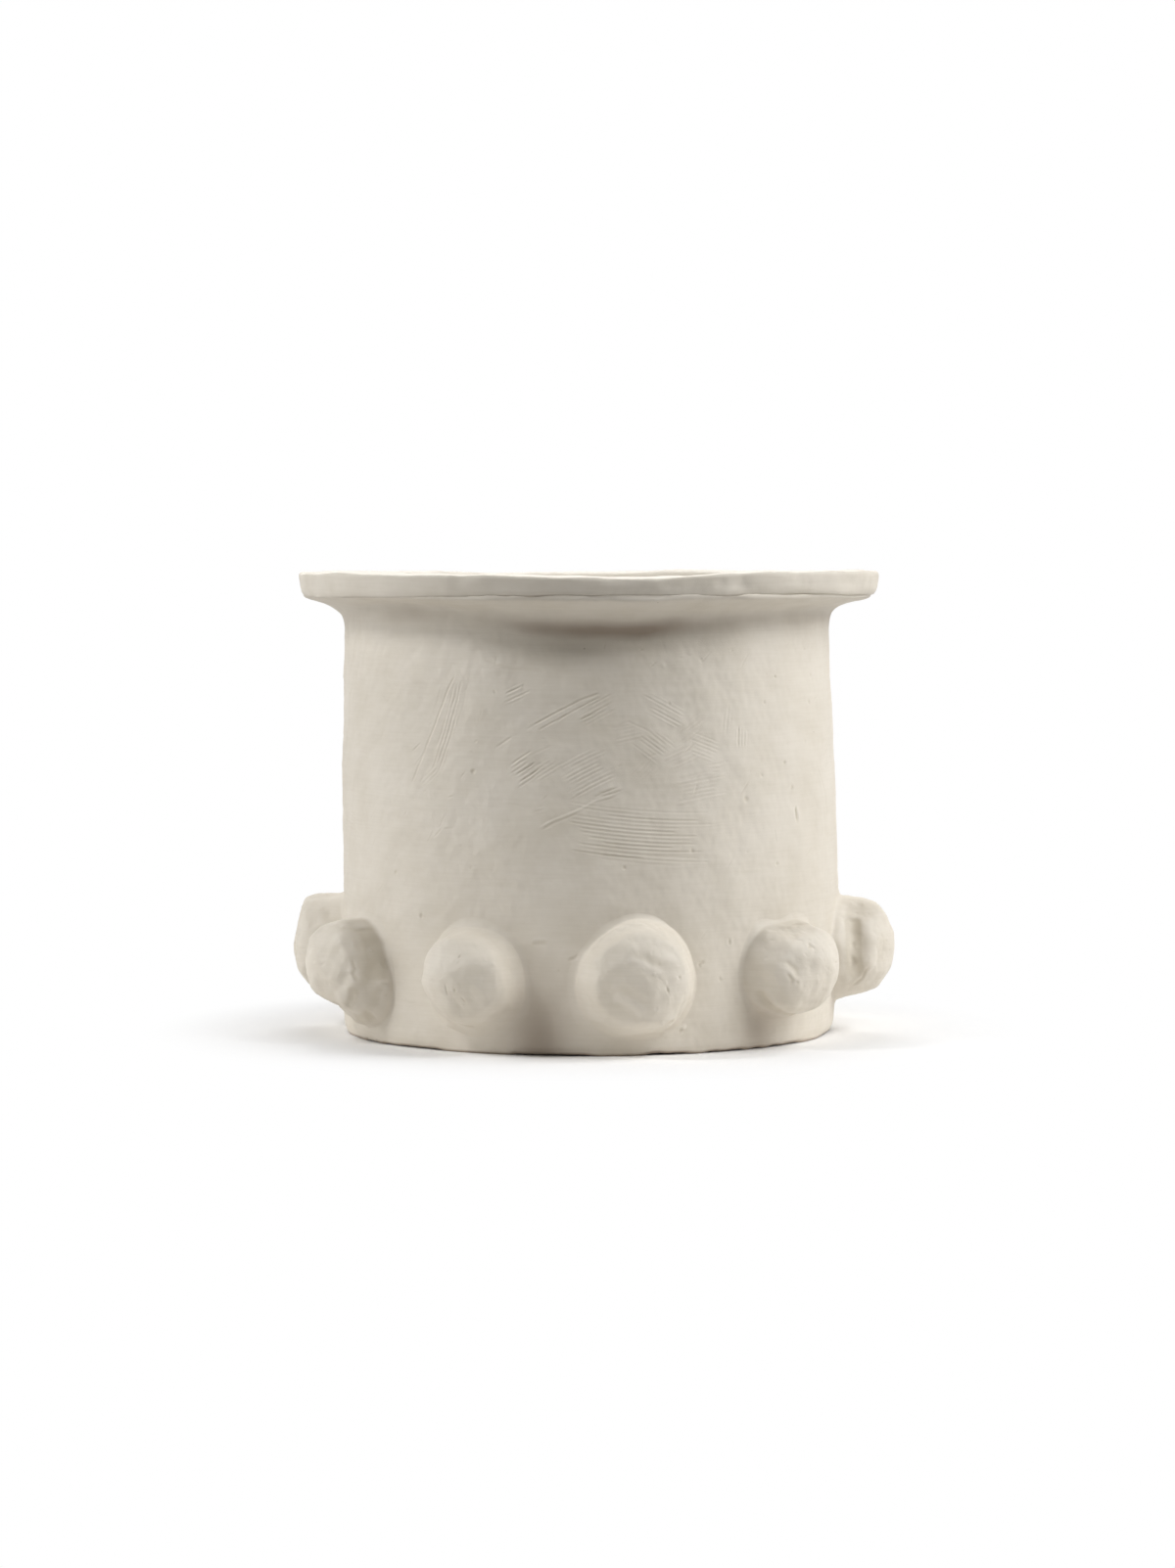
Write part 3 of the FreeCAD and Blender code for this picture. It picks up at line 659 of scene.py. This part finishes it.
# round from the front: azimuth, height, reach, how round the head is, then the radius of the base and of
# the head at every eighth of a turn from the right, counter-clockwise
KNOBS = (
    (10.3, 56.5, 39.6, 0.95, (39, 36, 35, 33, 39, 45, 45, 45), (29, 28, 27, 29, 31, 31, 33, 32)),
    (48.6, 56.5, 40.6, 1.15, (36, 36, 28, 33, 37, 39, 38, 38), (32, 29, 24, 26, 29, 30, 30, 32)),
    (85.5, 56.5, 41.3, 0.9, (36, 38, 38, 37, 38, 37, 34, 34), (28, 31, 34, 31, 28, 26, 26, 27)),
    (121.5, 54.8, 39.8, 1, (37, 35, 36, 33, 32, 34, 35, 38), (29, 27, 27, 24, 22, 24, 25, 28)),
    (157, 57.6, 40.3, 1.1, (34, 36, 37, 38, 37, 36, 35, 34), (24, 26, 28, 29, 29, 27, 26, 24)),
    (192, 55.4, 41.1, 0.9, (37, 36, 33, 34, 35, 37, 38, 37), (29, 26, 23, 24, 26, 28, 29, 28)),
    (227.5, 58.2, 40.3, 1, (32, 34, 35, 36, 37, 36, 33, 32), (24, 26, 29, 30, 31, 28, 25, 25)),
    (263, 56, 37.4, 0.72, (36, 37, 38, 37, 36, 35, 34, 35), (27, 31, 35, 31, 27, 26, 25, 26)),
    (298.5, 54.8, 41, 0.85, (31, 28, 29, 33, 36, 36, 43, 43), (29, 28, 28, 29, 29, 28, 27, 28)),
    (334, 54.8, 39.6, 1.2, (35, 32, 30, 34, 38, 41, 42, 41), (31, 28, 26, 27, 27, 26, 29, 31)),
)
# where each knob was slapped flat: direction round it from the right and tilt off its axis, both in
# degrees, distance from its heart, softness of the edge
KNOB_PRESSES = (
    ((225, 30, 23.8, 2.8), (75, 20, 25.8, 3.6), (335, 26, 26.8, 3.4), (140, 34, 26.8, 2.4)),
    (
        (180, 36, 27, 2.4), (228, 18, 25.4, 3), (128, 30, 26.6, 2), (52, 24, 26, 2.6),
        (340, 32, 27.2, 2.6), (272, 36, 27.2, 2.6),
    ),
    ((184, 26, 26.4, 2.6), (60, 40, 29.6, 3), (250, 36, 27.2, 2.5), (20, 36, 28.2, 2.6)),
    ((40, 26, 26.4, 2.4), (160, 34, 26.8, 2.6), (280, 30, 26.2, 2.4)),
    ((90, 22, 25.8, 2.4), (210, 30, 26.6, 2.6), (320, 34, 26.4, 2.4)),
    ((10, 24, 26.4, 2.4), (120, 30, 26.4, 2.6), (240, 26, 26.6, 2.4)),
    ((70, 30, 26.8, 2.6), (190, 24, 26.4, 2.4), (300, 34, 26.6, 2.6)),
    ((30, 30, 25.6, 2.6), (90, 9, 22.2, 2), (290, 30, 24, 2.6)),
    ((350, 36, 26.6, 2.4), (300, 30, 25.6, 2), (74, 36, 27.4, 2.4), (20, 18, 26, 2.4), (262, 68, 28.5, 2)),
    ((292, 27, 23.6, 3.4), (112, 30, 26.4, 3.4), (165, 44, 27.4, 3.4)),
)
# creases and nicks left in the knobs: which knob, half width, depth (raised where negative), then how far
# right of and above its axis along the line
KNOB_CREASES = (
    (0, 2.6, 0.9, (15.4, -10.4), (17.4, -10)), (0, 3, -0.5, (-22, -14), (-10, -20.5), (1, -26)),
    (0, 2.4, -0.5, (-12.5, 12.2), (0, 7.6), (11.2, 1.7)), (0, 0.8, 0.6, (24.4, -0.4), (24.8, -3)),
    (0, 1.2, -0.7, (12, -34), (14.5, -31)), (0, 0.9, 0.6, (16, -32.4), (20, -31.6), (24, -30.4)),
    (0, 1, -0.6, (17, -34.6), (22, -33.4)), (1, 1.1, 0.5, (-9.2, 13), (-8.8, 17.6)),
    (1, 1, 0.4, (-11.6, 12.6), (-8.6, 15.4)), (1, 1, 0.4, (-8.8, 15.4), (-5.6, 13.2)),
    (1, 1.6, 0.35, (-29, 6.6), (-22.6, -0.8), (-21, -7)),
    (1, 0.9, 0.5, (-27.6, -2), (-24, -8), (-24.6, -11.6)), (1, 0.8, 0.4, (-22.6, -7.6), (-19.8, -11)),
    (1, 0.9, 0.8, (18, 2.4), (18.4, 1.2)), (1, 1.4, 0.7, (-36, -26.6), (-28, -30.6), (-20, -33)),
    (3, 1.4, 0.8, (-12, 14), (-2, 9), (6, 10)), (4, 1.3, 0.7, (10, -14), (2, -6), (-9, -5)),
    (5, 1.4, 0.8, (-16, 4), (-8, -8), (4, -11)), (6, 1.3, 0.8, (14, 8), (7, -2), (9, -13)),
    (7, 1.2, 0.6, (12, 6), (17, -4), (15, -12)), (9, 0.9, 0.6, (4.6, 14.2), (6.4, 14)),
    (9, 0.8, 0.7, (3.4, -9), (3, -12)), (9, 0.7, 0.4, (-4, -6), (-2.6, -15)),
    (9, 0.7, 0.4, (6.4, -15), (9.6, -19.4)), (9, 1, 0.5, (38.6, 9), (40.6, -2), (41.8, -12)),
)
# valleys, ridges and nicks in the sides of the knobs: which knob, half width, depth, then degrees round
# from the right and millimetres out from the wall along the line
KNOB_VALLEYS = (
    (2, 4.2, 1.7, (132, 12), (155, 14), (190, 14), (212, 18)), (2, 1.2, 0.8, (163, 14.4), (174, 12.6)),
    (2, 1.4, 0.9, (180, 12), (190, 13.6), (196, 12.4)), (2, 1, 0.6, (196, 24), (214, 19), (224, 12)),
    (2, 5, -0.4, (150, 25), (190, 26), (206, 27)), (8, 6, 0.8, (62, 9), (30, 8), (2, 9), (-18, 12)),
    (8, 5, -1, (-14, 4), (-40, 5), (-58, 8)),
    (8, 1.3, 0.5, (8, 25), (-3, 22.6), (-10, 24.6), (-20, 20)), (8, 1.1, -0.8, (19, 11), (23, 9.4)),
    (8, 1, 0.8, (-26, 1.6), (-31, 4.6), (-34, 2.4)), (8, 1, 0.6, (10, 2.4), (2, 4), (-6, 2.8)),
    (8, 3.4, 0.8, (-20, 6), (-50, 9), (-84, 10)),
    (9, 2.2, 1, (196, 10), (226, 13), (252, 12), (276, 9)),
    (1, 2.6, 0.7, (205, 8), (236, 12), (268, 13), (300, 10)),
    (8, 3, 0.9, (-24, 24), (-46, 22), (-62, 23)), (3, 2.4, 0.9, (100, 12), (140, 15), (180, 13)),
    (4, 2.2, 0.8, (-60, 16), (-20, 12), (20, 14)), (5, 2.6, 1, (150, 10), (190, 13), (230, 12)),
    (6, 2.4, 0.9, (20, 14), (60, 12), (95, 15)), (7, 2.4, 0.7, (-40, 12), (-5, 14), (30, 12)),
)
KNOB_SIDE = 31.0  # radius at which the distances round a side are taken
KNOB_COLUMNS = 240
KNOB_CRUMBS = 0.2  # how far the few loose crumbs and torn places stand out or in


def knob_point(number, around, section):
    """Points of a knob. Its radius goes from the base's outline to the head's as the section says, both
    carried smoothly through their eight radii; the share of the reach, to the power of the roundness, is
    how far out it is. Low down it stands on the wall's own surface, and higher up it is square to its
    own axis, with an eased change between. Past each slapped plane it is pushed back to the plane."""
    azimuth, middle, reach, roundness, base, head = KNOBS[number]
    azimuth = np.radians(azimuth)
    eighths = np.arange(-8, 17) * FULL_TURN / 8
    base, head = (smooth_through(around, eighths, np.tile(radii, 4)[:25]) for radii in (base, head))
    out_share, out_more, head_share, base_share, outside = section
    smear = 1 + 0.35 * clay(ring(around, 30, 0), 70 + number, 60, 16, 8, 1.0)
    radius = head * head_share + (base - head) * base_share + outside * np.maximum(smear, 0.4)
    out = np.clip(out_share, 0, 1) ** roundness * reach + out_more
    across, up = radius * np.cos(around), radius * np.sin(around)
    on_wall = wall_point(azimuth + across / WALL_BELLY, np.maximum(middle + up, 0.8), out)
    outward, right, top = ring(azimuth, 1, 0), ring(azimuth + np.pi / 2, 1, 0), np.array([0, 0, 1.0])
    across, up, out = (np.broadcast_to(part, on_wall.shape[:2]) for part in (across, up, out))
    squared = np.stack([WALL_BELLY + out, across, middle + up], -1) @ np.stack([outward, right, top])
    blend = eased((out - 1) / 15)[..., None]
    points = (1 - blend) * on_wall + blend * squared
    heart = outward * (WALL_BELLY + KNOB_HEART) + top * middle
    for *slap, distance, soft in KNOB_PRESSES[number]:
        turn, tilt = np.radians(slap)
        normal = outward * np.cos(tilt) + (right * np.cos(turn) + top * np.sin(turn)) * np.sin(tilt)
        past = (points - heart) @ normal - distance
        pushed = 0.5 * (past + np.sqrt(past**2 + soft**2)) * eased((out - 6) / 12)
        points = points - normal * pushed[..., None]
    return points, across, up, out


def make_knob(number):
    """One knob: the grid of its points, with hand marks and creases along its normals, closed at the tip
    and closed behind by a back inside the wall."""
    around = np.arange(0, FULL_TURN, FULL_TURN / KNOB_COLUMNS)
    nominal = 28 * KNOB_SECTION[2] + 8 * KNOB_SECTION[3] + KNOB_SECTION[4]
    run = way_run(nominal, 40 * KNOB_SECTION[0] + KNOB_SECTION[1])
    where = spaced((0, run[-1], 0.85))[:, None]
    section = [smooth_through(where, run, column) for column in KNOB_SECTION]
    grid, across, up, out = knob_point(number, around, section)
    creases = np.zeros(out.shape)
    for knob, width, depth, *path in KNOB_CREASES:
        if knob == number:
            creases += tool_line(across, up, np.array(path), width, depth)
    for knob, width, depth, *path in KNOB_VALLEYS:
        if knob == number:
            for turn in (0, FULL_TURN):
                side = (around - turn) * KNOB_SIDE + 0 * out
                creases += tool_line(side, out, np.array(path) * (np.radians(KNOB_SIDE), 1.0), width, depth)
    creases *= eased((out - 0.5) / 3)
    relief = pressed(grid, 1.6) + clay(grid, 80 + number, 24, 9, 24, 0.3) + wiped(grid, 0.8)
    crumbs = clay(grid, 90 + number, 8, 2.8, 30, 1.0)
    relief += KNOB_CRUMBS * np.sign(crumbs) * np.maximum(np.abs(crumbs) - 1.45, 0)
    relief *= eased((out - 1) / 8)
    grid = grid + facing(grid, False) * (relief + creases)[..., None]
    # painted shadow of the crooks and the foot's painted contact shade, carried on to the knob's base and
    # fading out along it
    bare_foot_and_painted_shade = painted_shade_and_bare_foot_at(grid) * (1 - eased((out - 3) / 15))
    behind = grid[0] - ring(np.radians(KNOBS[number][0]), 7, 0)
    grid = np.concatenate([behind[None], grid])
    count = grid[..., 0].size
    row = np.arange(KNOB_COLUMNS)
    after = np.roll(row, -1)
    back = np.stack([np.full(KNOB_COLUMNS, count), after, row], -1)
    last = count - KNOB_COLUMNS
    tip = np.stack([last + row, last + after, np.full(KNOB_COLUMNS, count + 1)], -1)
    points = np.vstack([grid.reshape(-1, 3), behind.mean(0), grid[-1].mean(0)])
    node = "knob_%02d" % (number + 1)
    faces = [quads(*grid.shape[:2], False, True), back, tip]
    unmarked = np.zeros(KNOB_COLUMNS)
    marks, bare_foot_and_painted_shade = (np.concatenate([unmarked, values.ravel(), [0, 0]]) for values in (creases, bare_foot_and_painted_shade))
    return clay_piece("clay_" + node, points, faces, [node], marks, bare_foot_and_painted_shade)


knobs = [make_knob(number) for number in range(len(KNOBS))]

# Clay. Off-white engobe brushed thinly over a grogged stoneware body and fired without glaze: a dry,
# chalky skin that scatters light evenly, with faint brush streaks, a fine grain and a few iron specks.

ENGOBE = "#DBD4C8"
# the thin engobe colour, also painted into the grooves as shade
ENGOBE_THIN_AND_GROOVE_SHADE = "#CFC7B8"  # where the brush left less of it and the body shows through
# the bare body colour, for the unglazed foot and for painted shade under the rim, in the crease below its
# edge, between the knobs and at the foot's contact
BODY_AND_PAINTED_SHADE = "#A19384"  # the stoneware itself
IRON_SPECK = "#8C7F6C"
ENGOBE_ROUGHNESS = 0.62
CELLS_WITHOUT_SPECK, SPECK_STRENGTH = 0.9, 0.55  # share of the cells, and how far a speck hides the engobe
STREAK_DEPTH, GRAIN_DEPTH = 0.00003, 0.00008  # metres


def linear(colour):
    """Linear red, green, blue and alpha of an sRGB hex colour, by the sRGB curve."""
    channels = np.array([int(colour[place:place + 2], 16) for place in (1, 3, 5)]) / 255
    curved = np.where(channels <= 0.04045, channels / 12.92, ((channels + 0.055) / 1.055) ** 2.4)
    return (*curved, 1.0)


def add_node(tree, kind, settings=None, links=None, **values):
    """Adds one shader node with its settings, the values of its sockets and the links into them, each from
    an output or from a node's first output."""
    node = tree.nodes.new("ShaderNode" + kind)
    for name, value in (settings or {}).items():
        setattr(node, name, value)
    for name, value in values.items():
        node.inputs[name.replace("_", " ")].default_value = value
    for name, source in (links or {}).items():
        tree.links.new(getattr(source, "outputs", (source,))[0], node.inputs[name])
    return node


def emptied(shaded):
    """The node tree of a material or world, with its default nodes taken out."""
    shaded.use_nodes = True
    shaded.node_tree.nodes.clear()
    return shaded.node_tree


clay_material = bpy.data.materials.new("matte_engobe_on_stoneware")
tree = emptied(clay_material)
place = add_node(tree, "TexCoord").outputs["Object"]
# blotches about 40 mm across, where the engobe went on thicker or thinner
blotches = add_node(tree, "TexNoise", links={"Vector": place}, Scale=24, Detail=5, Roughness=0.62)
# brush streaks about 1.5 mm high and 30 mm long, round the pot
stretched = add_node(tree, "Mapping", links={"Vector": place}, Scale=(34, 34, 640))
streaks = add_node(tree, "TexNoise", links={"Vector": stretched}, Scale=1, Detail=2)
# grain about 0.8 mm across, which is coarser than the real one so that it shows
grain = add_node(tree, "TexNoise", links={"Vector": place}, Scale=1250, Detail=3, Roughness=0.6)
# iron specks under 1 mm, one to a few square centimetres
cells = add_node(tree, "TexVoronoi", links={"Vector": place}, Scale=85)
speck_here = add_node(tree, "Math", {"operation": "GREATER_THAN"}, {0: cells.outputs["Color"]})
speck_here.inputs[1].default_value = CELLS_WITHOUT_SPECK
speck_shape = add_node(
    tree, "MapRange", {"interpolation_type": "SMOOTHSTEP"}, {"Value": cells},
    From_Min=0.035, From_Max=0.055, To_Min=SPECK_STRENGTH, To_Max=0,
)
speck = add_node(tree, "Math", {"operation": "MULTIPLY"}, {0: speck_here, 1: speck_shape})
relief, bare_foot_and_painted_shade = (
    add_node(tree, "Attribute", {"attribute_name": name}).outputs["Fac"]
    for name in ("relief", "bare_foot_and_painted_shade")
)
# how thin the engobe is, from blotches and streaks, with painted shade in the grooves and a slight
# painted highlight on raised lips: each pattern's range, and the share of the thin engobe at its two ends
thin_and_groove_shade_shares = [
    add_node(
        tree, "MapRange", links={"Value": pattern},
        From_Min=low, From_Max=high, To_Min=at_low, To_Max=at_high,
    )
    for pattern, low, high, at_low, at_high in (
        (blotches, 0.38, 0.68, 0, 0.55),
        (streaks, 0.35, 0.65, -0.08, 0.14),
        # painted shade in the grooves, and a slight painted highlight on raised lips
        (relief, -0.4, 0.2, 0.7, -0.3),
    )
]
thin_and_groove_shade = thin_and_groove_shade_shares[0]
for more in thin_and_groove_shade_shares[1:]:
    thin_and_groove_shade = add_node(tree, "Math", {"operation": "ADD"}, {0: thin_and_groove_shade, 1: more})
# one colour laid over the other: thin engobe with painted groove shade, bare clay with painted shade, and
# specks
colour = add_node(tree, "RGB").outputs[0]
colour.default_value = linear(ENGOBE)
for share, layer in ((thin_and_groove_shade, ENGOBE_THIN_AND_GROOVE_SHADE), (bare_foot_and_painted_shade, BODY_AND_PAINTED_SHADE), (speck, IRON_SPECK)):
    over = add_node(tree, "Mix", {"data_type": "RGBA"}, {0: share, 6: colour})
    over.inputs[7].default_value = linear(layer)
    colour = over.outputs[2]
streak_bump = add_node(tree, "Bump", links={"Height": streaks}, Distance=STREAK_DEPTH)
bump = add_node(tree, "Bump", links={"Height": grain, "Normal": streak_bump}, Distance=GRAIN_DEPTH)
skin = add_node(
    tree, "BsdfPrincipled", links={"Base Color": colour, "Normal": bump},
    Roughness=ENGOBE_ROUGHNESS,
)
add_node(tree, "OutputMaterial", links={"Surface": skin})
for piece in (*walls, rim, cove, floor_slab, floor_coil, *knobs):
    piece.data.materials.append(clay_material)

# Floor and backdrop. A seamless white studio floor. Near the pot it is a matt white sheet that takes the
# pot's soft shadow, and further off it is burnt out to plain white, as the backdrop is.

FLOOR_REACH = 30  # metres, beyond the camera
FLOOR_WHITE = "#F4F4F4"
FLOOR_BOUNCE = "#F8F6F3"  # what the sheet sends back on to the pot
ROOM_FLOOR = "#585858"  # the floor round the sheet, which sends back little
# metres from the pot's axis, between which the sheet turns plain white, and ends on the room's floor
BURNT, SHEET_EDGE = (0.175, 0.31), (0.5, 0.7)


def seen_ray(tree):
    """One for rays from the camera or off a glossy face, and nothing for light on its way to the pot."""
    path = add_node(tree, "LightPath").outputs
    ends = {0: path["Is Camera Ray"], 1: path["Is Glossy Ray"]}
    return add_node(tree, "Math", {"operation": "MAXIMUM"}, ends)


floor_mesh = bpy.data.meshes.new("studio_floor")
corners = np.array([(-1, -1, 0), (1, -1, 0), (1, 1, 0), (-1, 1, 0)]) * FLOOR_REACH
floor_mesh.from_pydata(corners.tolist(), [], [(0, 1, 2, 3)])
studio_floor = bpy.data.objects.new("studio_floor", floor_mesh)
bpy.context.scene.collection.objects.link(studio_floor)

floor_material = bpy.data.materials.new("white_studio_sheet")
tree = emptied(floor_material)
place = add_node(tree, "TexCoord").outputs["Object"]
far = add_node(tree, "VectorMath", {"operation": "LENGTH"}, {0: place}).outputs["Value"]
burnt, off_sheet = (
    add_node(
        tree, "MapRange", {"interpolation_type": "SMOOTHSTEP"}, {"Value": far},
        From_Min=near_end, From_Max=far_end,
    )
    for near_end, far_end in (BURNT, SHEET_EDGE)
)
sheet, bounce, dim_floor = (
    add_node(tree, "BsdfDiffuse", Color=linear(shade))
    for shade in (FLOOR_WHITE, FLOOR_BOUNCE, ROOM_FLOOR)
)
plain_white = add_node(tree, "Emission")
sent_back = add_node(tree, "MixShader", links={0: off_sheet, 1: bounce, 2: dim_floor})
shown = add_node(tree, "MixShader", links={0: burnt, 1: sheet, 2: plain_white})
either = add_node(tree, "MixShader", links={0: seen_ray(tree), 1: sent_back, 2: shown})
add_node(tree, "OutputMaterial", links={"Surface": either})
floor_mesh.materials.append(floor_material)

world = bpy.data.worlds.new("white_studio")
bpy.context.scene.world = world
tree = emptied(world)
unlit = add_node(tree, "Background", Strength=0)
backdrop = add_node(tree, "Background", Color=(1, 1, 1, 1))
either = add_node(tree, "MixShader", links={0: seen_ray(tree), 1: unlit, 2: backdrop})
add_node(tree, "OutputWorld", links={"Surface": either})

# Studio. Wide soft boxes stand left and right of the pot, the right ones brighter, with a small one high
# on each side and a wide one high behind; the camera looks a little down from well back.

POT_MIDDLE = 0.16  # metres up, where every lamp points
# name, azimuth and elevation in degrees, distance and size in metres, power in watts
LAMPS = (
    ("soft_box_behind_high", 180, 42, 2, 1.2, 18),
    ("soft_box_right_high", 75, 42, 2, 1.2, 20.8),
    ("soft_box_right", 90, 22, 2, 1.2, 10.5),
    ("soft_box_right_low", 75, 13, 2.04, 1.2, 3.9),
    ("small_box_right_high", 50, 42, 2, 0.4, 5.6),
    ("soft_box_left", -90, 22, 2, 1.2, 8.8),
    ("soft_box_left_low", -75, 13, 2.04, 1.2, 8.6),
    ("small_box_left_high", -60, 42, 2, 0.4, 13.2),
)


for name, azimuth, elevation, distance, size, power in LAMPS:
    lamp = bpy.data.lights.new(name, "AREA")
    lamp.shape = "SQUARE"
    lamp.size = size
    lamp.energy = power
    holder = bpy.data.objects.new(name, lamp)
    turn, rise = np.radians((azimuth, elevation))
    holder.location = ring(turn, distance * np.cos(rise), distance * np.sin(rise))
    # it shines back along the line that it was set out on
    holder.rotation_euler = holder.location.to_track_quat("Z", "Y").to_euler()
    holder.location.z += POT_MIDDLE
    bpy.context.scene.collection.objects.link(holder)

CAMERA_PLACE = (-0.0007, -3.17317, 0.351)  # metres
CAMERA_DIP = 3.25  # degrees
camera = bpy.data.objects.new("camera", bpy.data.cameras.new("camera"))
camera.data.lens = 105
camera.data.sensor_width = 36
camera.data.clip_end = 100
camera.location = CAMERA_PLACE
camera.rotation_euler = (np.radians(90 - CAMERA_DIP), 0, 0)
bpy.context.scene.collection.objects.link(camera)
bpy.context.scene.camera = camera
bpy.context.scene.view_settings.view_transform = "Standard"
